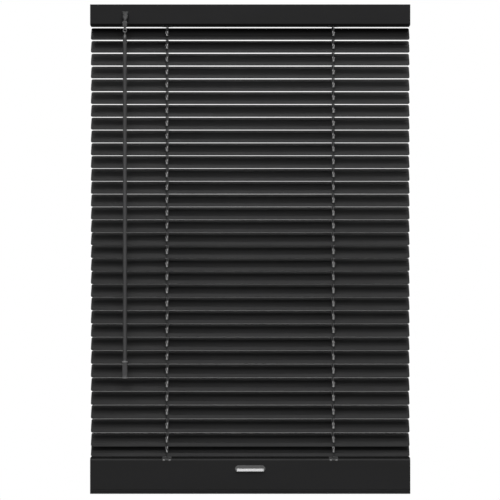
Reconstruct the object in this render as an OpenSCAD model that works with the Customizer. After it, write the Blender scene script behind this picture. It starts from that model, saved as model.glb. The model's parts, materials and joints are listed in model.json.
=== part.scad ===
// Cordless 25 mm venetian mini blind: open-top head rail with a worm tilter and a tilt rod,
// 33 crowned slats carried by two ladders, a tilt wand, two lift cords, and a tall bottom
// rail that holds the spring motor which takes up the cords.
// Millimetres. +Z is up and the room side faces -Y. The origin is the middle of the four
// ceiling screws, in the plane of the head rail's top, so everything hangs below it.
// The slats are drawn at the tilt they rest at, almost closed with their front edges down.

/* [Overall] */
// Length of the blind over the end caps
blind_w = 487; // [470:1:520]
// Height of the whole blind, from the ceiling plane to the underside of the bottom rail
blind_h = 744.6; // [740:0.1:760]

/* [Head rail] */
// Depth of the head rail, front to back
rail_d = 28; // [28:0.5:30]
// Height of the head rail
rail_h = 31.6; // [30:0.1:31.6]
// Sheet thickness of the head rail
rail_t = 0.9; // [0.7:0.1:1]
// Length of each ceiling clip
clip_l = 30; // [26:1:32]
// Distance from the middle to each ceiling clip
clip_x = 159; // [158:1:160]
// Half the distance between the two screws of a clip
screw_y = 5; // [4:0.5:5.5]
// Radius of the ceiling screw holes
screw_r = 2.1; // [1.8:0.1:2.3]

/* [Slats] */
// Number of slats (the node list and the lift are drawn for 33)
slat_count = 33; // [33:1:33]
// Length of a slat
slat_l = 486; // [466:1:486]
// Width of a slat across its chord
slat_w = 25; // [24:0.5:25]
// Height of the slat's crown over its chord
slat_crown = 1.3; // [0.8:0.1:1.6]
// Thickness of a slat
slat_t = 0.4; // [0.35:0.05:0.5]
// Radius of a slat's corners
slat_corner_r = 3; // [2:0.5:5]
// Tilt of the slats at rest, front edge down
rest_tilt = 51; // [45:0.5:52]
// Depth of the first slat's centre below the ceiling plane
first_slat = 42.9; // [42.9:0.1:44]
// Spacing of the slats in the upper half
slat_pitch = 19.57; // [19.4:0.01:19.6]
// Growth of the spacing from the 17th slat down, where the ladder has stretched
ladder_stretch = 0.0592; // [0:0.0001:0.06]
// Spacing between the last two slats
last_pitch = 15.2; // [15.2:0.1:16]

/* [Ladders and cords] */
// Distance from the middle to each ladder
ladder_x = 127; // [125:1:130]
// Distance of the ladder strings in front of and behind the middle plane
string_y = 9.3; // [9.2:0.1:9.5]
// Radius of a ladder string
string_r = 0.45; // [0.3:0.05:0.5]
// Distance of each string from the ladder's middle: front strings outward, back ones inward
string_shift = 0.9; // [0:0.1:1]
// Radius of a lift cord
cord_r = 0.6; // [0.5:0.05:0.7]
// Length of the slot a lift cord passes, across the slat
slot_l = 11; // [9:0.5:12]
// Width of that slot
slot_w = 4; // [3:0.5:5]

/* [Tilter] */
// Depth of the tilt rod's axis below the ceiling plane
rod_z = 13; // [12.8:0.1:13.2]
// Side of the square tilt rod
rod_w = 5; // [4.5:0.1:5]
// Distance from the middle to the tilter, on the left
tilter_x = 190; // [189:1:191]
// Lean of the tilter's stem, forward from the vertical
stem_lean = 35; // [34:0.5:36]
// Number of teeth of the tilter's gear, which meshes with a single-start worm
gear_teeth = 16; // [16:1:16]

/* [Wand] */
// Radius of the six-sided wand over its corners
wand_r = 3; // [2.6:0.1:3.2]
// Depth of the wand's top below the ceiling plane
wand_top = 47; // [47:0.5:49]
// Depth of the grip's lower end below the ceiling plane
wand_end = 568; // [400:1:580]
// Length of the grip
grip_l = 27; // [24:1:32]

/* [Bottom rail] */
// Height of the bottom rail
foot_h = 54.7; // [54:0.1:54.7]
// Radius of the bottom rail's upper edges
foot_shoulder = 5; // [4:0.5:5]
// Wall of the bottom rail
foot_t = 1.5; // [1.2:0.1:1.6]
// Width of the lift handle
handle_w = 46; // [40:1:60]
// Height of the lift handle
handle_h = 10; // [9:0.5:14]
// How far the handle stands out of the bottom rail
handle_out = 8; // [6:0.5:9]

/* [Hidden] */
function two_digits(i) = str(i < 10 ? "0" : "", i);
SLAT_NODES = [for (i = [1:33]) str("slat_", two_digits(i))];
BAY_NODES = [for (i = [28:33]) str("ladder_bay_", i)];

$fn = 48;
fit = 0.05;                      // radial clearance of a shaft in its bearing
gap = 0.2;                       // clearance of parts that slide into a rail
rail_half = rail_d / 2;
inner_half = rail_half - rail_t;
rail_corner = 3;                 // radius of the head rail's lower edges
lip_y = 9;                       // the inward lips leave the head rail open between here
cap_t = 1.2;                     // flange of an end cap
plug_l = 6;                      // how far an end cap reaches into its rail
plug_t = 1.5;
rail_l = blind_w - 2 * cap_t;

stretch_from = 17;
function slat_depth(i) = i == slat_count
    ? slat_depth(slat_count - 1) + last_pitch
    : first_slat + slat_pitch * (i - 1) + ladder_stretch * pow(max(0, i - stretch_from), 2);
slat_radius = (pow(slat_w / 2, 2) + pow(slat_crown, 2)) / (2 * slat_crown);
slat_apex = slat_crown / 3;      // puts the middle of the section's weight on the hinge line

drum_r = string_y - string_r - fit;
drum_l = 13.2;
flange_r = 10.2;
flange_t = 1;
journal_r = 5;
cradle_l = 22;
cradle_t = 2.5;
corner_room = 1.3;               // keeps cradles off the rail's walls and round corners
cradle_floor = rail_h - rail_t - gap;
collar_x = 7;
collar_y = 10.7;
collar_proud = 0.3;              // rim of the collar below the rail's underside
string_hole_x = 5;
string_hole_y = 9.9;

gear_r = 6.3;                    // middle of the gear's wave-shaped teeth
tooth = 0.6;                     // half the height of a tooth
worm_r = 2.4;
mesh_gap = 0.4;
worm_offset = gear_r + worm_r + mesh_gap;
worm_lead = 2 * PI * gear_r / gear_teeth;
worm_l = 7;
gear_w = 6;
stem_r = 1.9;
journal_small = 1.6;
neck_r = 1.3;
snout_from = 7;                  // distances along the stem, from the worm's middle
snout_straight = 16;
snout_end = 22.5;
ball_at = 27;
ball_r = 1.9;
worm_y = -worm_offset * cos(stem_lean);
worm_z = -rod_z + worm_offset * sin(stem_lean);
ball_y = worm_y - ball_at * sin(stem_lean);
ball_z = worm_z - ball_at * cos(stem_lean);

foot_top = blind_h - foot_h;
foot_corner = 2;
first_lifted = 28;

// ---------- shared shapes ----------

// Extrudes a section drawn in Y and Z along X, centred on x
module along_x(length, x = 0) {
    translate([x - length / 2, 0, 0]) rotate([90, 0, 90]) linear_extrude(length) children();
}

// Extrudes a section drawn in X and Z along Y, from y0 forward to y0 - length
module towards_front(length, y0) {
    translate([0, y0, 0]) rotate([90, 0, 0]) linear_extrude(length) children();
}

// A rod along X between two x values, at a depth below the ceiling plane
module rod_x(r, x0, x1, depth) {
    translate([x0, 0, -depth]) rotate([0, 90, 0]) cylinder(r = r, h = x1 - x0);
}

// A rectangle with round corners, centred
module round_rect(w, h, r) {
    square([w - 2 * r, h], center = true);
    square([w, h - 2 * r], center = true);
    for (sx = [-1, 1], sy = [-1, 1])
        translate([sx * (w / 2 - r), sy * (h / 2 - r)]) circle(r);
}

// Section of a rail from z = -bottom up to z = -top, with round lower and upper edges
module rail_section(half, top, bottom, r_low, r_high) {
    translate([-half, -bottom + r_low]) square([2 * half, bottom - top - r_low - r_high]);
    translate([-half + r_low, -bottom]) square([2 * (half - r_low), r_low + 0.01]);
    for (s = [-1, 1]) translate([s * (half - r_low), -bottom + r_low]) circle(r_low);
    if (r_high > 0) {
        translate([-half + r_high, -top - r_high - 0.01])
            square([2 * (half - r_high), r_high + 0.01]);
        for (s = [-1, 1]) translate([s * (half - r_high), -top - r_high]) circle(r_high);
    }
}

// Round gear with wave-shaped teeth; a tooth stands at the given angle
module wave_gear(teeth, r, height, angle) {
    steps = teeth * 8;
    polygon([for (k = [0:steps - 1]) let (a = 360 * k / steps)
        (r + height * cos(teeth * (a - angle))) * [cos(a), sin(a)]]);
}

// The stem's own axes: +Z runs out along the stem, and -Y points at the tilt rod
module on_stem() {
    translate([-tilter_x, worm_y, worm_z]) rotate([180 - stem_lean, 0, 0]) children();
}

module snout_outline(extra) {
    square([4.8, 2 * (2.6 + extra)], center = true);
    for (s = [-1, 1]) translate([s * 2.4, 0]) circle(2.6 + extra);
}

// ---------- head rail ----------

module head_rail() {
    color("#2a2a2b") difference() {
        along_x(rail_l) difference() {
            rail_section(rail_half, 0, rail_h, rail_corner, 0);
            rail_section(inner_half, rail_t, rail_h - rail_t, rail_corner - rail_t, 0);
            translate([-lip_y, -rail_t - 0.1]) square([2 * lip_y, rail_t + 0.2]);
        }
        for (s = [-1, 1]) translate([s * ladder_x, 0, -rail_h])
            cube([2 * (collar_x + gap), 2 * (collar_y + gap), 4], center = true);
        on_stem() translate([0, 0, worm_l / 2]) linear_extrude(snout_end) snout_outline(0.3);
    }
}

module head_rail_end_caps() {
    color("#2a2a2b") for (s = [-1, 1]) {
        along_x(cap_t, s * (blind_w - cap_t) / 2)
            rail_section(rail_half, 0, rail_h, rail_corner, 0);
        along_x(plug_l, s * (rail_l - plug_l) / 2) difference() {
            rail_section(inner_half - gap, rail_t + gap, cradle_floor,
                rail_corner - rail_t - 0.1, 0);
            rail_section(inner_half - gap - plug_t, rail_t + gap + plug_t,
                cradle_floor - plug_t, 1, 0);
        }
    }
}

// Ceiling clips: a pad that fills the rail's open top, on a flange that grips under its lips
module mounting_clips() {
    pad_t = rail_t + 0.1;
    color("#8b8f93") for (s = [-1, 1]) translate([s * clip_x, 0, 0]) difference() {
        union() {
            translate([-clip_l / 2, -lip_y + gap, -pad_t - 0.05])
                cube([clip_l, 2 * (lip_y - gap), pad_t + 0.05]);
            translate([-clip_l / 2, -inner_half + 1, -pad_t - 1.5])
                cube([clip_l, 2 * (inner_half - 1), 1.5]);
        }
        for (t = [-1, 1]) translate([0, t * screw_y, -5]) cylinder(r = screw_r, h = 10);
    }
}

// Cradles: two bored cheeks on a floor whose collar lines the slot in the rail
module drum_cradles() {
    color("#3a3a3c") for (s = [-1, 1]) translate([s * ladder_x, 0, 0]) {
        difference() {
            union() {
                for (t = [-1, 1])
                    along_x(cradle_t, t * (cradle_l - cradle_t) / 2)
                        translate([-inner_half + corner_room, -cradle_floor])
                            square([2 * (inner_half - corner_room), cradle_floor - 3]);
                translate([-cradle_l / 2, -inner_half + corner_room, -cradle_floor])
                    cube([cradle_l, 2 * (inner_half - corner_room), 1.7]);
                translate([-collar_x, -collar_y, -rail_h - collar_proud])
                    cube([2 * collar_x, 2 * collar_y, 3]);
                translate([-collar_x - 1.5, -collar_y + 0.4, -rail_h - collar_proud])
                    cube([2 * collar_x + 3, 2 * collar_y - 0.8, collar_proud - 0.05]);
            }
            rod_x(journal_r + fit, -cradle_l, cradle_l, rod_z);
            translate([-string_hole_x, -string_hole_y, -rail_h - 5])
                cube([2 * string_hole_x, 2 * string_hole_y, 10]);
        }
        // bar that the lift cord is tied round
        translate([-string_hole_x - 0.1, -1.2, -cradle_floor])
            cube([2 * string_hole_x + 0.2, 2.4, 1.7]);
    }
}

// Tilter: two bored cheeks for the gear, two bored bars for the worm, and a snout that
// carries the stem out through the front of the rail
module tilter_housing() {
    half = 11;
    color("#3a3a3c") difference() {
        union() {
            for (s = [-1, 1])
                along_x(cradle_t, -tilter_x + s * (half - cradle_t / 2))
                    translate([-inner_half + corner_room, -cradle_floor])
                        square([inner_half + 9, cradle_floor - 1.3]);
            translate([-tilter_x - half, -inner_half + corner_room, -cradle_floor])
                cube([2 * half, inner_half + 9, 1.8]);
            intersection() {
                on_stem() {
                    translate([-half + 1, -3.2, 5]) cube([2 * half - 2, 6.4, 3]);
                    translate([-half + 1, -2.4, -7]) cube([2 * half - 2, 4.8, 2.9]);
                }
                translate([-tilter_x - half, -inner_half + gap, -rail_h])
                    cube([2 * half, 2 * inner_half, rail_h - 1.3]);
            }
            on_stem() {
                translate([0, 0, snout_from])
                    linear_extrude(snout_straight - snout_from) snout_outline(0);
                hull() {
                    translate([0, 0, snout_straight - 0.2]) linear_extrude(0.2)
                        snout_outline(0, $fn = 32);
                    translate([0, 0, snout_end - 0.2]) linear_extrude(0.2) circle(2.7, $fn = 32);
                }
            }
        }
        rod_x(journal_r + fit, -tilter_x - 2 * half, -tilter_x + 2 * half, rod_z);
        on_stem() {
            translate([0, 0, 4]) cylinder(r = stem_r + fit, h = 30);
            translate([0, 0, -10]) cylinder(r = journal_small + fit, h = 7);
        }
    }
}

// ---------- tilt rod and what turns with it ----------

module tilt_rod() {
    left = -tilter_x - 14;
    right = ladder_x + 22;
    color("#b9bcc0") translate([left, -rod_w / 2, -rod_z - rod_w / 2])
        cube([right - left, rod_w, rod_w]);
}

module rod_hole(x, length) {
    w = rod_w + 0.04;
    translate([x - length / 2, -w / 2, -rod_z - w / 2]) cube([length, w, w]);
}

module ladder_drums() {
    journal_l = cradle_l + 2;
    color("#d8d8d6") for (s = [-1, 1]) difference() {
        union() {
            rod_x(drum_r, s * ladder_x - drum_l / 2, s * ladder_x + drum_l / 2, rod_z);
            for (t = [-1, 1]) let (x = s * ladder_x + t * (drum_l / 2 + flange_t / 2))
                rod_x(flange_r, x - flange_t / 2, x + flange_t / 2, rod_z);
            rod_x(journal_r, s * ladder_x - journal_l / 2, s * ladder_x + journal_l / 2, rod_z);
        }
        rod_hole(s * ladder_x, journal_l + 2);
    }
}

module tilter_gear() {
    hub_l = 24;
    color("#d8d8d6") difference() {
        union() {
            along_x(gear_w, -tilter_x) translate([0, -rod_z])
                wave_gear(gear_teeth, gear_r, -tooth, 180 - stem_lean);
            rod_x(journal_r, -tilter_x - hub_l / 2, -tilter_x + hub_l / 2, rod_z);
        }
        rod_hole(-tilter_x, hub_l + 2);
    }
}

// Worm, stem and ball in one: the worm is a round core carried off-centre along a helix
module tilter_stem() {
    color("#9a9c9e") on_stem() {
        rotate([0, 0, -90 - 180 * worm_l / worm_lead]) translate([0, 0, -worm_l / 2])
            linear_extrude(worm_l, twist = -360 * worm_l / worm_lead, slices = 34)
                translate([tooth, 0]) circle(worm_r, $fn = 18);
        translate([0, 0, -6.8]) cylinder(r = journal_small, h = 4);
        translate([0, 0, worm_l / 2 - 0.5]) cylinder(r = stem_r, h = snout_end - 0.5 - worm_l / 2);
        translate([0, 0, snout_end - 1]) cylinder(r = neck_r, h = ball_at - snout_end + 1);
        translate([0, 0, ball_at]) sphere(ball_r);
    }
}

// ---------- wand ----------

// Yoke round the stem's ball, an eye below it, and the pin that the wand turns on
module wand_hook() {
    cheek_x = 2.1;
    cheek_t = 1;
    shank_r = 1.2;
    eye_z = -11;
    color("#8e9092") translate([-tilter_x, ball_y, ball_z]) {
        for (s = [-1, 1]) translate([s * (cheek_x + cheek_t / 2), 0, 0]) {
            rotate([0, 90, 0]) cylinder(r = 3, h = cheek_t, center = true);
            translate([-cheek_t / 2, -1.8, -4.2]) cube([cheek_t, 3.6, 4.2]);
        }
        translate([-cheek_x - cheek_t, -1.8, -4.4]) cube([2 * (cheek_x + cheek_t), 3.6, 1.8]);
        translate([0, 0, eye_z + 2]) cylinder(r = shank_r, h = -4.2 - eye_z - 2);
        translate([0, 0, eye_z]) rotate([90, 0, 0]) rotate_extrude() translate([2.4, 0]) circle(1);
        translate([0, 0, -wand_top - 6 - ball_z])
            cylinder(r = 1, h = wand_top + 6 + ball_z + eye_z - 2);
    }
}

module wand() {
    neck = 5;
    color("#565859") translate([-tilter_x, ball_y, 0]) difference() {
        union() {
            translate([0, 0, -wand_top - neck]) cylinder(r1 = wand_r, r2 = 2, h = neck);
            translate([0, 0, -wand_end + 4])
                cylinder(r = wand_r, h = wand_end - 4 - wand_top - neck, $fn = 6);
        }
        translate([0, 0, -wand_top - 6.5]) cylinder(r = 1 + fit, h = 10);
    }
}

module wand_grip() {
    collar_r = 4.3;
    body_r = 4;
    rim_r = 4.7;
    hole_r = wand_r + 0.02;
    color("#565859") translate([-tilter_x, ball_y, -wand_end]) difference() {
        rotate_extrude() polygon([
            [0, 0], [rim_r - 1, 0], [rim_r, 1], [rim_r, 2.6], [body_r + 0.2, 4],
            [body_r, grip_l - 4], [collar_r, grip_l - 3], [collar_r, grip_l - 1],
            [collar_r - 1, grip_l], [0, grip_l]
        ]);
        translate([0, 0, 4]) cylinder(r = hole_r, h = grip_l, $fn = 6);
    }
}

// ---------- slats ----------

module slat(i) {
    color("#1f1f20") translate([0, 0, -slat_depth(i)]) rotate([rest_tilt, 0, 0]) difference() {
        intersection() {
            along_x(slat_l) intersection() {
                translate([0, slat_apex - slat_radius]) difference() {
                    circle(slat_radius + slat_t / 2, $fn = 180);
                    circle(slat_radius - slat_t / 2, $fn = 180);
                }
                translate([-slat_w, -4]) square([2 * slat_w, 8]);
            }
            translate([0, 0, -4]) linear_extrude(8) round_rect(slat_l, slat_w, slat_corner_r);
        }
        for (s = [-1, 1]) translate([s * ladder_x, 0, -4]) linear_extrude(8) slot_plan();
    }
}

// Slot for a lift cord, with round ends
module slot_plan() {
    reach = (slot_l - slot_w) / 2;
    square([slot_w, 2 * reach], center = true);
    for (t = [-1, 1]) translate([0, t * reach]) circle(slot_w / 2);
}

// ---------- ladders and cords ----------

// The front and back strings of both ladders between two depths
module strings(top, bottom) {
    color("#4a4a4c") for (s = [-1, 1], t = [-1, 1])
        translate([s * ladder_x - s * t * string_shift, t * string_y, -bottom])
            cylinder(r = string_r, h = bottom - top, $fn = 16);
}

module ladder_bay(i) {
    bottom = i == slat_count ? foot_top + 2 : slat_depth(i);
    strings(slat_depth(i - 1), bottom);
}

module lift_cords() {
    color("#9a9a9a") for (s = [-1, 1])
        translate([s * ladder_x, 0, -foot_top - foot_t - 2])
            cylinder(r = cord_r, h = foot_top + foot_t + 2 - cradle_floor, $fn = 16);
}

// ---------- bottom rail ----------

module bottom_rail() {
    bead_r = 0.45;
    color("#262627") difference() {
        along_x(rail_l) difference() {
            rail_section(rail_half, foot_top, blind_h, foot_corner, foot_shoulder);
            rail_section(rail_half - foot_t, foot_top + foot_t, blind_h - foot_t,
                foot_corner - foot_t, foot_shoulder - foot_t);
            for (up = [3.7, 6.8]) translate([-rail_half, up - blind_h]) circle(bead_r);
        }
        for (s = [-1, 1]) translate([s * ladder_x, 0, -foot_top])
            cube([8, 2 * (string_y + 1), 14], center = true);
    }
}

module bottom_rail_end_caps() {
    plug_half = rail_half - foot_t - gap;
    color("#262627") for (s = [-1, 1]) {
        along_x(cap_t, s * (blind_w - cap_t) / 2)
            rail_section(rail_half, foot_top, blind_h, foot_corner, foot_shoulder);
        along_x(plug_l, s * (rail_l - plug_l) / 2) difference() {
            rail_section(plug_half, foot_top + foot_t + gap, blind_h - foot_t - gap, 1,
                foot_shoulder - foot_t);
            rail_section(plug_half - plug_t, foot_top + foot_t + gap + plug_t,
                blind_h - foot_t - gap - plug_t, 1, foot_shoulder - foot_t);
        }
    }
}

// Finger scoop: a tray whose rim slopes from its back plate down to its front lip
module lift_handle() {
    top = foot_top + 11;
    lip_h = 4.6;
    wall = 1.4;
    corner = 6;
    color("#c9cbcd") intersection() {
        translate([0, -rail_half, -top - handle_h]) difference() {
            linear_extrude(handle_h) scoop_plan(handle_w, handle_out, corner);
            translate([0, -1.2, wall]) linear_extrude(handle_h)
                scoop_plan(handle_w - 2 * wall, handle_out - 1.2 - wall, corner - wall);
        }
        along_x(handle_w + 2) polygon([
            [-rail_half, -top - handle_h], [-rail_half, -top], [-rail_half - 1.2, -top],
            [-rail_half - handle_out, -top - handle_h + lip_h],
            [-rail_half - handle_out, -top - handle_h]
        ]);
    }
}

// Plan of the scoop: straight at the back, round corners at the front
module scoop_plan(w, d, r) {
    translate([-w / 2, -d + r]) square([w, d - r]);
    translate([-w / 2 + r, -d]) square([w - 2 * r, r + 0.01]);
    for (s = [-1, 1]) translate([s * (w / 2 - r), -d + r]) circle(r);
}

// Saddles that close the cord openings over the rail's round top and hold the ladder ends
module ladder_saddles() {
    proud = 0.3;
    color("#77797b") for (s = [-1, 1]) translate([s * ladder_x, 0, 0]) difference() {
        union() {
            along_x(13.6) difference() {
                rail_section(rail_half + proud, foot_top - proud, blind_h, foot_corner,
                    foot_shoulder + proud);
                rail_section(rail_half, foot_top, blind_h, foot_corner, foot_shoulder);
                translate([-20, -blind_h - 1]) square([40, foot_h - 3]);
            }
            translate([-3.8, -string_y - 0.8, -foot_top - 3])
                cube([7.6, 2 * (string_y + 0.8), 2.9]);
        }
        translate([0, 0, -foot_top - 5]) cylinder(r = cord_r + 0.6, h = 10, $fn = 32);
        for (t = [-1, 1]) translate([-s * t * string_shift, t * string_y, -foot_top - 5])
            cylinder(r = string_r + 0.15, h = 10, $fn = 32);
    }
}

spool_x = -15;
drum_x = 15;
motor_depth = foot_top + 28.5;   // depth of both motor axles
spool_teeth = 20;
drum_teeth = 25;
spool_gear_r = 13.1;
drum_gear_r = 16.5;
motor_tooth = 0.7;
axle_r = 2.5;
cord_drum_r = 9;

module motor_housing() {
    half_x = 45;
    half_z = 19.5;
    half_y = 11.8;
    wall = 1.3;
    color("#4b4c4e") {
        translate([-half_x, -half_y, -motor_depth - half_z]) difference() {
            cube([2 * half_x, 2 * half_y, 2 * half_z]);
            translate([wall, -1, wall])
                cube([2 * (half_x - wall), 2 * half_y - wall + 1, 2 * (half_z - wall)]);
            for (x = [-5, 2 * half_x - 5]) translate([x, half_y - 2, 2 * half_z - 12])
                cube([10, 6, 4]);
        }
        for (x = [spool_x, drum_x]) translate([x, 0, -motor_depth])
            towards_front(2 * half_y - 3, half_y - 1) circle(axle_r);
    }
}

// Cord spool: gear at the back, winding barrel in the middle, flange at the front
module cord_spool() {
    color("#d8d8d6") translate([spool_x, 0, -motor_depth]) difference() {
        union() {
            towards_front(4, 8) wave_gear(spool_teeth, spool_gear_r, -motor_tooth, 0);
            towards_front(14.5, 8) circle(cord_drum_r);
            towards_front(1.2, -5.3) circle(12.5);
        }
        towards_front(30, 15) circle(axle_r + fit);
    }
}

// Spring drum: gear at the back, barrel, and the flat spring wound on it
module spring_drum() {
    color("#c2c4c6") translate([drum_x, 0, -motor_depth]) difference() {
        union() {
            towards_front(4, 8) wave_gear(drum_teeth, drum_gear_r, motor_tooth, 180);
            towards_front(14.5, 8) circle(6);
            towards_front(9.5, 3.5) circle(13);
        }
        towards_front(30, 15) circle(axle_r + fit);
    }
}

// ---------- the parts ----------

head_rail();
head_rail_end_caps();
mounting_clips();
drum_cradles();
tilter_housing();
tilt_rod();
ladder_drums();
tilter_gear();
tilter_stem();
wand_hook();
wand();
wand_grip();
strings(rod_z, slat_depth(first_lifted - 1));  // ladder_cords
lift_cords();
bottom_rail();
bottom_rail_end_caps();
lift_handle();
ladder_saddles();
motor_housing();
cord_spool();
spring_drum();
for (i = [1:slat_count])
    slat(i);
for (i = [first_lifted:slat_count])
    ladder_bay(i);
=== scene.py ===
import json
import math

import bmesh
import bpy
from mathutils import Matrix, Vector


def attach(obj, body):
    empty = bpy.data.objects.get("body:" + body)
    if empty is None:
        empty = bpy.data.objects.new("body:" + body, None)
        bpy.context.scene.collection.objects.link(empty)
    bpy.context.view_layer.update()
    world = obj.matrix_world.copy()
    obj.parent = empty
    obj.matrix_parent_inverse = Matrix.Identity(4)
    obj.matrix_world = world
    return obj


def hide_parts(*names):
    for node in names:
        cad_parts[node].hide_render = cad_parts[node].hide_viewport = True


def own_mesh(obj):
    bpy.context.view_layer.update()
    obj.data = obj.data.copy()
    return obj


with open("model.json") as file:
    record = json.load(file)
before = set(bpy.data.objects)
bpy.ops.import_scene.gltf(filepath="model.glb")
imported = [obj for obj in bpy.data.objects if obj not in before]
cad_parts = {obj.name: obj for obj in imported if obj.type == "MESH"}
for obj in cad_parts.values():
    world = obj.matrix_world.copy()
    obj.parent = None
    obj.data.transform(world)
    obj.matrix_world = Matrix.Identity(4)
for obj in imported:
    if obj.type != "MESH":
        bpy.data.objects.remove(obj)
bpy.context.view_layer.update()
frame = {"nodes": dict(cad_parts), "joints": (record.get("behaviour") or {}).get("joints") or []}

# Lengths are in millimetres, as in the CAD model; MM turns them into Blender's metres. The
# studio and the depths of the bumps are in metres.
MM = 0.001
NODES = frame["nodes"]
PIVOT = {j["child"]: Vector(j["pos_m"]) for j in frame["joints"] if j.get("pos_m")}

SLAT_COUNT = 33
FIRST_LIFTED = 28
REST_TILT = math.radians(51)
SLAT_L, SLAT_W, SLAT_CROWN, SLAT_T, SLAT_CORNER = 486, 25, 1.3, 0.4, 3
SLAT_EDGE = 0.16
SLAT_R = ((SLAT_W / 2) ** 2 + SLAT_CROWN ** 2) / (2 * SLAT_CROWN)
SLAT_APEX = SLAT_CROWN / 3
SLOT_L, SLOT_W = 11, 4
LADDER_X, STRING_Y, STRING_R, STRING_SHIFT, STRING_LAY = 127, 9.3, 0.45, 0.9, 3.2
# The rungs' radius and half spacing, over and under the slat.
RUNG_OVER_R, RUNG_OVER_APART = 0.46, 1.05
RUNG_UNDER_R, RUNG_UNDER_APART = 0.4, 1.7
# Their gap to the slat, the front knot's height, how far from it they rise and spread, and lean.
RUNG_GAP, RUNG_KNOT_Z, RUNG_PULL, RUNG_SPREAD, RUNG_LEAN = 0.03, -4, 5, 4, 0.8
# The lift cords' radius and lay.
CORD_R, CORD_LAY = 0.6, 5.6
# The depth where the ladder strings start.
ROD_Z = 13
TILTER_X = 190
WAND_END, GRIP_L = -568, 27
FOOT_TOP = 689.9
RAIL_HALF = 14
# Where the rails turn matt and get painted shade, near black: the head rail's underside and the
# bottom rail's top, standing in for the shade under the head rail and under the slats.
RAIL_PAINTED_SHADE_Z, RAIL_SHINY_Z = -30.2, -29.2
FOOT_PAINTED_SHADE_Z, FOOT_SHINY_Z = -FOOT_TOP - 1.0, -FOOT_TOP - 1.4


def slat_name(i):
    return f"slat_{i:02d}"


def slat_z(i):
    return PIVOT[slat_name(i)].z / MM


# ---------------------------------------------------------------- materials

def shader(name, roughness, metallic=0.0, specular=0.5, coat=0.0, sheen=0.0):
    """A new material, its tree and its Principled shader."""
    mat = bpy.data.materials.new(name)
    mat.use_nodes = True
    tree = mat.node_tree
    bsdf = tree.nodes["Principled BSDF"]
    bsdf.inputs["Roughness"].default_value = roughness
    bsdf.inputs["Metallic"].default_value = metallic
    bsdf.inputs["Specular IOR Level"].default_value = specular
    bsdf.inputs["Coat Weight"].default_value = coat
    bsdf.inputs["Sheen Weight"].default_value = sheen
    return mat, tree, bsdf


def coords(tree, scale=(1, 1, 1)):
    """Object coordinates in metres, stretched by scale."""
    where = tree.nodes.new("ShaderNodeTexCoord")
    mapping = tree.nodes.new("ShaderNodeMapping")
    mapping.inputs["Scale"].default_value = scale
    tree.links.new(where.outputs["Object"], mapping.inputs["Vector"])
    return mapping.outputs["Vector"]


def noise(tree, vector, scale, detail=3.0):
    node = tree.nodes.new("ShaderNodeTexNoise")
    node.inputs["Scale"].default_value = scale
    node.inputs["Detail"].default_value = detail
    node.inputs["Roughness"].default_value = 0.55
    tree.links.new(vector, node.inputs["Vector"])
    return node.outputs["Fac"]


def spread(tree, value, low, high, from_low=0.3, from_high=0.7):
    """Maps the range from_low to from_high of a value to low to high."""
    node = tree.nodes.new("ShaderNodeMapRange")
    node.inputs["From Min"].default_value = from_low
    node.inputs["From Max"].default_value = from_high
    node.inputs["To Min"].default_value = low
    node.inputs["To Max"].default_value = high
    tree.links.new(value, node.inputs["Value"])
    return node.outputs["Result"]


def two_tone(tree, value, dark, light, low=0.3, high=0.7):
    ramp = tree.nodes.new("ShaderNodeValToRGB")
    ramp.color_ramp.elements[0].position = low
    ramp.color_ramp.elements[0].color = (*dark, 1)
    ramp.color_ramp.elements[1].position = high
    ramp.color_ramp.elements[1].color = (*light, 1)
    tree.links.new(value, ramp.inputs["Fac"])
    return ramp.outputs["Color"]


def bump(tree, bsdf, height, distance):
    node = tree.nodes.new("ShaderNodeBump")
    node.inputs["Strength"].default_value = 1.0
    node.inputs["Distance"].default_value = distance
    tree.links.new(height, node.inputs["Height"])
    tree.links.new(node.outputs["Normal"], bsdf.inputs["Normal"])


def grained(name, dark, light, roughness, grain, depth, mottle=30, stretch=(1, 1, 1),
            metallic=0.0, specular=0.5, coat=0.0, sheen=0.0):
    """Painted, moulded or rolled stock: colour mottle, uneven gloss and a fine grain."""
    mat, tree, bsdf = shader(name, sum(roughness) / 2, metallic, specular, coat, sheen)
    at = coords(tree, stretch)
    tree.links.new(two_tone(tree, noise(tree, at, mottle), dark, light),
                   bsdf.inputs["Base Color"])
    tree.links.new(spread(tree, noise(tree, at, mottle * 3.3), *roughness),
                   bsdf.inputs["Roughness"])
    bump(tree, bsdf, noise(tree, at, grain, 2.0), depth)
    return mat


def grey(value, blue=0.0):
    return (value, value, value + blue)


def matte_with_painted_shade(mat, painted_shade_z, shiny_z, shade):
    """Makes a rail dull and paints shade on it past the first height, blending from the second,
    both in millimetres: the dark colour is painted shade, not the rail's own colour.

    The numbered sockets of a mix node are factor 0, then A, B and result: 2, 3 and 0 for
    numbers, 6, 7 and 2 for colours.
    """
    tree = mat.node_tree
    bsdf = tree.nodes["Principled BSDF"]
    split = tree.nodes.new("ShaderNodeSeparateXYZ")
    tree.links.new(coords(tree), split.inputs["Vector"])
    ends = sorted(((painted_shade_z * MM, 1), (shiny_z * MM, 0)))
    past = spread(tree, split.outputs["Z"], ends[0][1], ends[1][1], ends[0][0], ends[1][0])
    for kind, first, result, socket, value in (
            ("RGBA", 6, 2, bsdf.inputs["Base Color"], (*shade, 1)),
            ("FLOAT", 2, 0, bsdf.inputs["Roughness"], 1.0)):
        mix = tree.nodes.new("ShaderNodeMix")
        mix.data_type = kind
        tree.links.new(past, mix.inputs[0])
        tree.links.new(socket.links[0].from_socket, mix.inputs[first])
        mix.inputs[first + 1].default_value = value
        tree.links.new(mix.outputs[result], socket)


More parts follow.
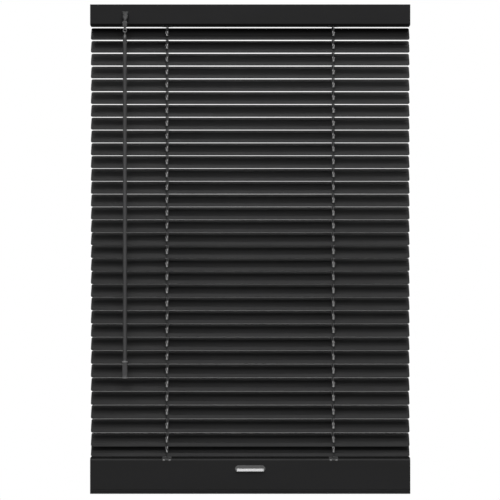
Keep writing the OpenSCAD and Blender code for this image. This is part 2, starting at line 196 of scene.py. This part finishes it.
BLACK_RAIL = grained("black_rail", grey(0.012), grey(0.015, 0.001), (0.42, 0.52), 2600, 0.00002,
                     mottle=22, stretch=(0.25, 1, 1), specular=0.3)
# Painted shade: the head rail's underside is painted near black for the shade beneath it.
matte_with_painted_shade(BLACK_RAIL, RAIL_PAINTED_SHADE_Z, RAIL_SHINY_Z, grey(0.003))
BLACK_CAP = grained("black_cap", grey(0.018), grey(0.022, 0.001), (0.45, 0.6), 1800, 0.00003,
                    specular=0.3)
FOOT_BLACK = grained("foot_black", grey(0.018), grey(0.021, 0.001), (0.45, 0.55), 2200, 0.00002,
                     mottle=18, stretch=(0.2, 1, 1), specular=0.3)
# Painted shade: the bottom rail's top is painted near black for the shadow the slats cast on it.
matte_with_painted_shade(FOOT_BLACK, FOOT_PAINTED_SHADE_Z, FOOT_SHINY_Z, grey(0.002))
SLAT_BLACK = grained("slat_black", grey(0.017), grey(0.02, 0.001), (0.42, 0.52), 2400, 0.00002,
                     mottle=16, stretch=(0.15, 1.5, 1.5), specular=0.3)
CLIP_STEEL = grained("clip_steel", (0.42, 0.43, 0.44), (0.56, 0.57, 0.58), (0.28, 0.45), 900,
                     0.00004, mottle=260, metallic=1.0)
STEEL = grained("steel", (0.5, 0.51, 0.52), (0.6, 0.61, 0.62), (0.22, 0.38), 1500, 0.00002,
                mottle=60, stretch=(0.15, 1, 1), metallic=1.0)
GREY_PLASTIC = grained("grey_plastic", grey(0.018), grey(0.024, 0.001), (0.35, 0.5), 1600, 0.00004,
                       specular=0.35)
WHITE_PLASTIC = grained("white_plastic", (0.55, 0.55, 0.52), (0.63, 0.63, 0.6), (0.35, 0.5),
                        1500, 0.00003)
SMOKE_PLASTIC = grained("smoke_plastic", grey(0.075), grey(0.1, 0.003), (0.14, 0.22), 700, 0.00002,
                        mottle=40, stretch=(1, 1, 0.15), coat=0.7)
STEM_PLASTIC = grained("stem_plastic", grey(0.1), grey(0.13, 0.002), (0.3, 0.45), 1400, 0.00003)
SNOUT_PLASTIC = grained("snout_plastic", grey(0.026), grey(0.034, 0.001), (0.35, 0.5), 1400,
                        0.00003, specular=0.4)
# Painted highlight: the grip's end rings sit on its rims, and their light grey stands in for the
# top light the rims catch.
RING_PAINTED_HIGHLIGHT = grained("ring_painted_highlight", grey(0.32), grey(0.4, 0.003), (0.2, 0.32), 1400, 0.00002, coat=0.4)
HOOK_STEEL = grained("hook_steel", grey(0.2), grey(0.26, 0.004), (0.3, 0.42), 1500, 0.00002,
                     mottle=90, metallic=1.0)
HANDLE_SILVER = grained("handle_silver", grey(0.3), grey(0.34, 0.003), (0.2, 0.26), 2400,
                        0.00001, mottle=120, metallic=1.0)
SADDLE_BLACK = grained("saddle_black", grey(0.02), grey(0.026, 0.001), (0.3, 0.42), 1400, 0.00003)
SADDLE_METAL = grained("saddle_metal", grey(0.3), grey(0.36, 0.004), (0.3, 0.42), 1400, 0.00002,
                       mottle=200, metallic=0.8)


# The length in which a wave texture of scale 1 repeats.
WAVE_PERIOD = 0.314


def yarn(name, dark, light, pitch, depth, sheen):
    """Braided polyester: two families of crossing diagonal strands, with fine fibres."""
    mat, tree, bsdf = shader(name, 0.75, specular=0.25, sheen=sheen)
    at = coords(tree)
    waves = []
    for side in (-1, 1):
        mapping = tree.nodes.new("ShaderNodeMapping")
        mapping.inputs["Rotation"].default_value = (side * math.radians(35), 0, 0)
        tree.links.new(at, mapping.inputs["Vector"])
        wave = tree.nodes.new("ShaderNodeTexWave")
        wave.wave_type = "BANDS"
        wave.bands_direction = "Z"
        wave.inputs["Scale"].default_value = WAVE_PERIOD / (pitch * MM)
        wave.inputs["Distortion"].default_value = 0.4
        tree.links.new(mapping.outputs["Vector"], wave.inputs["Vector"])
        waves.append(wave.outputs["Fac"])
    both = tree.nodes.new("ShaderNodeMath")
    both.operation = "MAXIMUM"
    tree.links.new(waves[0], both.inputs[0])
    tree.links.new(waves[1], both.inputs[1])
    tree.links.new(two_tone(tree, both.outputs[0], dark, light, 0.2, 0.9),
                   bsdf.inputs["Base Color"])
    fibres = noise(tree, coords(tree, (1, 1, 0.2)), 9000, 2.0)
    mix = tree.nodes.new("ShaderNodeMath")
    mix.operation = "MULTIPLY_ADD"
    mix.inputs[1].default_value = 0.35
    tree.links.new(fibres, mix.inputs[0])
    tree.links.new(both.outputs[0], mix.inputs[2])
    bump(tree, bsdf, mix.outputs[0], depth)
    return mat


LADDER_YARN = yarn("ladder_yarn", grey(0.012), grey(0.026, 0.001), 0.9, 0.00012, 0.1)
# Painted light: the rungs are the ladder's yarn made much lighter than the strings, the lightness
# standing in for the top light they catch lying on the slats.
RUNG_YARN_PAINTED_LIGHT = yarn("rung_yarn_painted_light", grey(0.24), grey(0.38, 0.003), 0.9, 0.00012, 0.1)
CORD_YARN = yarn("cord_yarn", grey(0.2), grey(0.32, 0.003), 1.4, 0.00016, 0.1)

# ---------------------------------------------------------------- mesh helpers


def add(name, mesh, material, smooth_angle=40):
    obj = bpy.data.objects.new(name, mesh)
    bpy.context.scene.collection.objects.link(obj)
    if not mesh.materials:
        mesh.materials.append(material)
        for face in mesh.polygons:
            face.use_smooth = True
        if smooth_angle:
            mesh.set_sharp_from_angle(angle=math.radians(smooth_angle))
    return obj


def finished(bm, name):
    bmesh.ops.recalc_face_normals(bm, faces=bm.faces)
    mesh = bpy.data.meshes.new(name)
    bm.to_mesh(mesh)
    bm.free()
    return mesh


def loft(bm, rings, cap=True):
    """Skins a list of rings of points, in millimetres, all with the same count."""
    made = [[bm.verts.new(Vector(p) * MM) for p in ring] for ring in rings]
    for a, b in zip(made, made[1:]):
        for k in range(len(a)):
            n = (k + 1) % len(a)
            bm.faces.new((a[k], a[n], b[n], b[k]))
    if cap:
        bm.faces.new(list(reversed(made[0])))
        bm.faces.new(made[-1])


def frames_along(points):
    """The points of a path, each with a steady pair of normals."""
    pts = [Vector(p) for p in points]
    out, side = [], None
    for k, p in enumerate(pts):
        tangent = (pts[min(k + 1, len(pts) - 1)] - pts[max(k - 1, 0)]).normalized()
        if side is None:
            side = tangent.orthogonal().normalized()
        side = (side - tangent * side.dot(tangent)).normalized()
        out.append((p, side, tangent.cross(side)))
    return out


def tube(bm, points, radius, sides):
    """A round tube along a path, closed at both ends."""
    rings = []
    for p, u, v in frames_along(points):
        rings.append([p + (u * math.cos(a) + v * math.sin(a)) * radius
                      for a in (2 * math.pi * j / sides for j in range(sides))])
    loft(bm, rings)


def twisted(bm, x, y, top, bottom, radius, strands, lay, sides=10):
    """A laid cord down Z: its section has one lobe per strand and turns once per lay."""
    step = 0.9
    count = max(2, round((top - bottom) / step))
    rings = []
    for k in range(count + 1):
        z = top + (bottom - top) * k / count
        turn = 2 * math.pi * z / lay
        ring = []
        for j in range(sides):
            a = 2 * math.pi * j / sides
            lobe = abs(math.cos(strands * (a - turn) / 2))
            r = radius * (0.8 + 0.2 * lobe)
            ring.append((x + r * math.cos(a), y + r * math.sin(a), z))
        rings.append(ring)
    loft(bm, rings)


def lathe(bm, x, y, profile):
    """Turns a list of (radius, z) about the vertical line at x, y."""
    steps = 40
    turns = [2 * math.pi * j / steps for j in range(steps)]
    loft(bm, [[(x + r * math.cos(a), y + r * math.sin(a), z) for a in turns]
              for r, z in profile])


# ---------------------------------------------------------------- slats

def slat_mesh():
    """A crowned slat about its hinge line, with round corners and two cord slots."""
    bm = bmesh.new()
    half_l, half_w = SLAT_L / 2, SLAT_W / 2
    outline = []
    corner_steps, end_steps, strips = 6, 8, 14
    for sx, sy, start in ((1, 1, 0), (-1, 1, 90), (-1, -1, 180), (1, -1, 270)):
        for k in range(corner_steps + 1):
            a = math.radians(start + 90 / corner_steps * k)
            outline.append((sx * (half_l - SLAT_CORNER) + SLAT_CORNER * math.cos(a),
                            sy * (half_w - SLAT_CORNER) + SLAT_CORNER * math.sin(a)))
    loops = [outline]
    reach = (SLOT_L - SLOT_W) / 2
    for s in (-1, 1):
        hole = []
        for t in (1, -1):
            for k in range(end_steps + 1):
                a = math.radians((0 if t > 0 else 180) + 180 / end_steps * k)
                hole.append((s * LADDER_X + SLOT_W / 2 * math.cos(a),
                             t * reach + SLOT_W / 2 * math.sin(a)))
        loops.append(hole)
    edges = []
    for points in loops:
        verts = [bm.verts.new((x * MM, y * MM, 0)) for x, y in points]
        edges += [bm.edges.new((verts[k], verts[(k + 1) % len(verts)]))
                  for k in range(len(verts))]
    bmesh.ops.triangle_fill(bm, edges=edges, use_beauty=True)
    for k in range(1, strips):
        cut = (-half_w + SLAT_W * k / strips) * MM
        bmesh.ops.bisect_plane(bm, geom=bm.verts[:] + bm.edges[:] + bm.faces[:],
                               plane_co=(0, cut, 0), plane_no=(0, 1, 0))
    for v in bm.verts:
        v.co.z = (SLAT_APEX - SLAT_R) * MM + math.sqrt((SLAT_R * MM) ** 2 - v.co.y ** 2)
    bmesh.ops.dissolve_limit(bm, angle_limit=math.radians(0.05), verts=bm.verts, edges=bm.edges)
    mesh = bpy.data.meshes.new("slat_plan")
    bm.to_mesh(mesh)
    bm.free()
    plan = bpy.data.objects.new("slat_plan", mesh)
    bpy.context.scene.collection.objects.link(plan)
    solid = plan.modifiers.new("sheet", "SOLIDIFY")
    solid.thickness = SLAT_T * MM
    solid.offset = 0
    bevel = plan.modifiers.new("edge", "BEVEL")
    bevel.width = SLAT_EDGE * MM
    bevel.segments = 2
    bevel.limit_method = "ANGLE"
    bevel.angle_limit = math.radians(50)
    made = bpy.data.meshes.new_from_object(
        plan.evaluated_get(bpy.context.evaluated_depsgraph_get()))
    bpy.data.objects.remove(plan)
    made.name = "slat"
    return made


def rung_mesh():
    """The cross strands of both ladders at one slat, a pair over it and a pair under it.

    A strand leaves the front string at a knot, lies along the slat and ends at the back string.
    It is drawn in the slat's own plane: c runs across the slat and h stands on it. The lift
    cord passes between the strands of a pair.
    """
    bm = bmesh.new()
    steps, sides = 24, 8
    edge = SLAT_W / 2
    back = STRING_Y / math.cos(REST_TILT)
    across, up = math.cos(REST_TILT), math.sin(REST_TILT)

    def crown(c):
        return SLAT_APEX - SLAT_R + math.sqrt(SLAT_R ** 2 - c * c)

    for s in (-1, 1):
        for side, r, apart in ((1, RUNG_OVER_R, RUNG_OVER_APART),
                               (-1, RUNG_UNDER_R, RUNG_UNDER_APART)):
            lie = side * (SLAT_T / 2 + r + RUNG_GAP)
            knot_z = RUNG_KNOT_Z if side > 0 else -STRING_Y * up / across
            knot = (-STRING_Y * across + knot_z * up, STRING_Y * up + knot_z * across)
            for t in (-1, 1):
                points = []
                for k in range(steps + 1):
                    c = knot[0] + (back - knot[0]) * k / steps
                    on = max(-edge, min(edge, c))
                    h = (crown(on) if side > 0 else crown(edge)) + lie
                    front_pull = max(0.0, 1 - (c - knot[0]) / RUNG_PULL)
                    h += (knot[1] - h) * front_pull ** 1.6
                    past = max(0.0, c - edge) / (back - edge)
                    h += (crown(edge) - h) * past * past
                    spread_out = min(1.0, (c - knot[0]) / RUNG_SPREAD, (back - c) / RUNG_SPREAD)
                    lean = STRING_SHIFT + (RUNG_LEAN * spread_out if side > 0 else 0)
                    x = s * (LADDER_X - lean * c / back) + t * apart * spread_out
                    points.append((x, c, h))
                tube(bm, points, r, sides)
    return finished(bm, "rungs")


SLAT_MESH = slat_mesh()
RUNG_MESH = rung_mesh()
for i in range(1, SLAT_COUNT + 1):
    place = Matrix.Translation(PIVOT[slat_name(i)]) @ Matrix.Rotation(REST_TILT, 4, "X")
    slat = add(f"slat_skin_{i:02d}", SLAT_MESH, SLAT_BLACK)
    slat.matrix_world = place
    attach(slat, slat_name(i))
    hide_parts(slat_name(i))
    rungs = add(f"ladder_rungs_{i:02d}", RUNG_MESH, RUNG_YARN_PAINTED_LIGHT)
    rungs.matrix_world = place
    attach(rungs, slat_name(i))
    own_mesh(rungs)

# ---------------------------------------------------------------- ladders and cords


def strings(name, top, bottom, body, nodes=()):
    """The front and back strings of both ladders between two heights."""
    bm = bmesh.new()
    for s in (-1, 1):
        for t in (-1, 1):
            x = s * LADDER_X - s * t * STRING_SHIFT
            twisted(bm, x, t * STRING_Y, top, bottom, STRING_R, 3, STRING_LAY)
    piece = add(name, finished(bm, name), LADDER_YARN, 0)
    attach(piece, body)
    if nodes:
        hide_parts(*nodes)
    return piece


strings("ladder_strings", -ROD_Z, slat_z(FIRST_LIFTED - 1), "head", ["ladder_cords"])
for i in range(FIRST_LIFTED, SLAT_COUNT + 1):
    top, bottom = slat_z(i - 1), slat_z(i)
    bay = strings(f"ladder_strings_{i}", top, bottom, f"bay_{i}", [f"ladder_bay_{i}"])
    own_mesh(bay)
TAIL_END = -FOOT_TOP - 2
strings("ladder_tails", slat_z(SLAT_COUNT), TAIL_END, "bay_33")

CORD_TOP, CORD_END = -30.5, -FOOT_TOP - 3.5
bm = bmesh.new()
for s in (-1, 1):
    twisted(bm, s * LADDER_X, 0, CORD_TOP, CORD_END, CORD_R, 4, CORD_LAY, 12)
cords = add("lift_cord_pair", finished(bm, "lift_cord_pair"), CORD_YARN, 0)
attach(cords, "head")
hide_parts("lift_cords")
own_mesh(cords)

# ---------------------------------------------------------------- lift handle and saddle grips

HANDLE_W, HANDLE_TOP, HANDLE_END = 46, -FOOT_TOP - 11, -FOOT_TOP - 20.2
HANDLE_BACK, HANDLE_BEND, HANDLE_SLOPE = 4, 3, math.radians(47)
CLASP_SPACING, CLASP_DROP, CLASP_OUT, CLASP_SIZE = 4.4, 3.1, 0.15, (1.9, 0.55, 1.2)


def handle_mesh():
    """Finger scoop: an upright back that bends out to a sloping lip, with round ends."""
    bm = bmesh.new()
    half, lip, stand, set_in = HANDLE_W / 2, 0.5, 0.2, 0.4
    shoulder, shoulder_drop, corner, corner_reach, round_end = 4.5, 4, 2.6, 0.05, 2.2
    steps, bend_steps = 60, 14

    def into_end(x, length):
        return max(0.0, (abs(x) - half + length) / length)

    rings = []
    for k in range(steps + 1):
        x = -half * math.cos(math.pi * k / steps)
        rounding = math.sqrt(max(0.0, 1 - into_end(x, corner) ** 2))
        reach = corner_reach + (1 - corner_reach) * rounding
        high = HANDLE_TOP - shoulder_drop * into_end(x, shoulder) ** 2
        rounding = math.sqrt(max(0.0, 1 - into_end(x, round_end) ** 2))
        low = HANDLE_END + round_end * (1 - rounding)
        size = (high - low - lip) / (HANDLE_TOP - HANDLE_END - lip)
        bend = HANDLE_BEND * size
        upright = HANDLE_BACK * size
        back = [(stand, high)]
        back += [(set_in + bend * (1 - math.cos(a)), high - upright - bend * math.sin(a))
                 for a in (HANDLE_SLOPE * j / bend_steps for j in range(bend_steps + 1))]
        y, z = back[-1]
        out = y + (z - low - lip) * math.tan(HANDLE_SLOPE)
        back.append((out, low + lip))
        profile = [(0, low), (out * 0.9, low), (out * 0.98, low + 0.15)]
        profile += back[::-1] + [(0, high)]
        rings.append([(x, -RAIL_HALF - reach * y, z) for y, z in profile])
    loft(bm, rings)
    return finished(bm, "lift_scoop")


handle = add("lift_scoop", handle_mesh(), HANDLE_SILVER, 55)
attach(handle, "foot")
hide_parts("lift_handle")

bm = bmesh.new()
for s in (-1, 1):
    for side in (-1, 1):
        for t in (-1, 1):
            middle = Vector((s * LADDER_X + t * CLASP_SPACING, side * (RAIL_HALF + CLASP_OUT),
                             -FOOT_TOP - CLASP_DROP))
            place = Matrix.Translation(middle * MM) @ Matrix.Diagonal((*CLASP_SIZE, 1))
            bmesh.ops.create_uvsphere(bm, u_segments=20, v_segments=12, radius=MM, matrix=place)
grips = add("saddle_grips", finished(bm, "saddle_grips"), SADDLE_METAL)
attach(grips, "foot")

# ---------------------------------------------------------------- snout, hook shroud, grip rings

SNOUT_TOP, SNOUT_END, SNOUT_HALF_TOP, SNOUT_HALF_END = -10.8, -26.2, 5.2, 2.9
SNOUT_DEEP_TOP, SNOUT_DEEPER, SNOUT_SUNK = 0.45, 8.9, 0.1
SHROUD_WALL, SHROUD_SHANK_R, SHROUD_SQUARE = 0.22, 0.9, 0.55
RING_LOW_R, RING_HIGH_R, RING_H, RING_DEEP = 4.78, 4.38, 1.4, 0.9
RING_LOW_Z = WAND_END + 0.2
RING_HIGH_Z = WAND_END + GRIP_L - 1.2 - RING_H


def shroud_mesh():
    """A tapered shell round the yoke, open at the top for the stem and below for the shank.

    The outline is a list of heights over the hook's pivot with half widths.
    """
    bm = bmesh.new()
    x, y, z = PIVOT["hook"] / MM
    steps = 32
    rings = []
    outline = [(3.5, 3.3), (1, 3.45), (-1.5, 3.3), (-3.5, 2.9), (-5, 2.4), (-6.6, 1.8), (-7.2, 1.3)]
    inner = [(h, r - SHROUD_WALL) for h, r in reversed(outline[:4])]
    for h, r in [(outline[-1][0], SHROUD_SHANK_R)] + outline[::-1] + inner[::-1]:
        ring = []
        for j in range(steps):
            a = 2 * math.pi * j / steps
            square = max(abs(math.cos(a)), abs(math.sin(a)))
            reach = r / (1 - SHROUD_SQUARE * (1 - square))
            ring.append((x + reach * math.cos(a), y + reach * math.sin(a), z + h))
        rings.append(ring)
    loft(bm, rings, cap=False)
    return finished(bm, "hook_shroud")


def snout_mesh():
    """The moulded nose on the rail's face: it leans out and narrows on its way down."""
    bm = bmesh.new()
    levels, steps = 16, 24
    rings = []
    for k in range(levels + 1):
        down = k / levels
        wide = SNOUT_HALF_TOP + (SNOUT_HALF_END - SNOUT_HALF_TOP) * down
        deep = SNOUT_DEEP_TOP + SNOUT_DEEPER * down ** 1.15
        z = SNOUT_TOP + (SNOUT_END - SNOUT_TOP) * down
        ring = []
        for j in range(steps + 1):
            a = math.pi * j / steps
            ring.append((-TILTER_X + wide * math.cos(a),
                         -RAIL_HALF + SNOUT_SUNK - deep * math.sin(a) ** 0.7, z))
        rings.append(ring)
    loft(bm, rings)
    return finished(bm, "snout_cover")


snout = add("snout_cover", snout_mesh(), SNOUT_PLASTIC, 50)
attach(snout, "head")

shroud = add("hook_shroud", shroud_mesh(), STEM_PLASTIC, 50)
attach(shroud, "hook")

# The grip's rings: their light grey is a painted highlight on the grip's rims.
bm = bmesh.new()
for low, r in ((RING_LOW_Z, RING_LOW_R), (RING_HIGH_Z, RING_HIGH_R)):
    profile = [(r - RING_DEEP, low), (r, low + 0.25), (r + 0.06, low + RING_H / 2),
               (r, low + RING_H - 0.25), (r - RING_DEEP, low + RING_H)]
    lathe(bm, PIVOT["wand"].x / MM, PIVOT["wand"].y / MM, profile)
rings = add("grip_rings", finished(bm, "grip_rings"), RING_PAINTED_HIGHLIGHT)
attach(rings, "wand")

# ---------------------------------------------------------------- carried-over CAD nodes

FINISH = {
    "head_rail": BLACK_RAIL, "head_rail_end_caps": BLACK_CAP, "mounting_clips": CLIP_STEEL,
    "drum_cradles": GREY_PLASTIC, "tilter_housing": GREY_PLASTIC, "tilt_rod": STEEL,
    "ladder_drums": WHITE_PLASTIC, "tilter_gear": WHITE_PLASTIC, "tilter_stem": STEM_PLASTIC,
    "wand_hook": HOOK_STEEL, "wand": SMOKE_PLASTIC, "wand_grip": SMOKE_PLASTIC,
    "bottom_rail": FOOT_BLACK, "bottom_rail_end_caps": BLACK_CAP,
    "ladder_saddles": SADDLE_BLACK, "motor_housing": GREY_PLASTIC, "cord_spool": WHITE_PLASTIC,
    "spring_drum": WHITE_PLASTIC,
}
for node, material in FINISH.items():
    for material_slot in NODES[node].material_slots:
        material_slot.material = material

# ---------------------------------------------------------------- studio

scene = bpy.context.scene
scene.view_settings.view_transform = "Standard"
scene.view_settings.look = "None"

# The camera's distance, its place across and up, and the width it sees at the blind, in metres.
CAMERA_AWAY, CAMERA_X, CAMERA_Z, SEEN_WIDTH = 2.9, -0.0003, -0.3735, 0.764
SENSOR_WIDTH = 36
camera_data = bpy.data.cameras.new("camera")
camera_data.sensor_width = SENSOR_WIDTH
camera_data.lens = SENSOR_WIDTH * CAMERA_AWAY / SEEN_WIDTH
camera = bpy.data.objects.new("camera", camera_data)
scene.collection.objects.link(camera)
camera.location = (CAMERA_X, -CAMERA_AWAY, CAMERA_Z)
camera.rotation_euler = (math.radians(90), 0, 0)
scene.camera = camera

# Camera rays see plain white; every other ray sees a soft grey, a little brighter in front.
world = bpy.data.worlds.new("studio")
scene.world = world
world.use_nodes = True
tree = world.node_tree
tree.nodes.clear()
out = tree.nodes.new("ShaderNodeOutputWorld")
path = tree.nodes.new("ShaderNodeLightPath")
plain = tree.nodes.new("ShaderNodeBackground")
plain.inputs["Color"].default_value = (1, 1, 1, 1)
around = tree.nodes.new("ShaderNodeBackground")
pick = tree.nodes.new("ShaderNodeMixShader")
where = tree.nodes.new("ShaderNodeTexCoord")
split = tree.nodes.new("ShaderNodeSeparateXYZ")
tree.links.new(where.outputs["Generated"], split.inputs["Vector"])
front = tree.nodes.new("ShaderNodeMapRange")
front.inputs["From Min"].default_value = -0.6
front.inputs["From Max"].default_value = 0.6
front.inputs["To Min"].default_value = 0.36
front.inputs["To Max"].default_value = 0.3
tree.links.new(split.outputs["Y"], front.inputs["Value"])
tree.links.new(front.outputs["Result"], around.inputs["Strength"])
tree.links.new(path.outputs["Is Camera Ray"], pick.inputs["Fac"])
tree.links.new(around.outputs["Background"], pick.inputs[1])
tree.links.new(plain.outputs["Background"], pick.inputs[2])
tree.links.new(pick.outputs["Shader"], out.inputs["Surface"])


def softbox(name, location, width, height, power):
    """A rectangular lamp aimed at the blind's middle."""
    aim = Vector((0, 0, -0.35))
    data = bpy.data.lights.new(name, "AREA")
    data.shape = "RECTANGLE"
    data.size, data.size_y = width, height
    data.energy = power
    lamp = bpy.data.objects.new(name, data)
    scene.collection.objects.link(lamp)
    lamp.location = location
    lamp.rotation_euler = (aim - Vector(location)).to_track_quat("-Z", "Y").to_euler()


softbox("front_box", (0, -1.8, 1.3), 2.2, 0.9, 16)
softbox("top_box", (0, -0.1, 1.6), 1.8, 1.6, 22)

FLOOR_R, FLOOR_Z = 1.35, -1.0
floor_mesh = bpy.data.meshes.new("floor")
bm = bmesh.new()
bmesh.ops.create_circle(bm, cap_ends=True, segments=96, radius=FLOOR_R,
                        matrix=Matrix.Translation((0, 0, FLOOR_Z)))
bm.to_mesh(floor_mesh)
bm.free()
FLOOR = grained("floor_pale", grey(0.72), grey(0.76), (0.6, 0.75), 60, 0.0004, mottle=3)
floor = add("floor", floor_mesh, FLOOR)
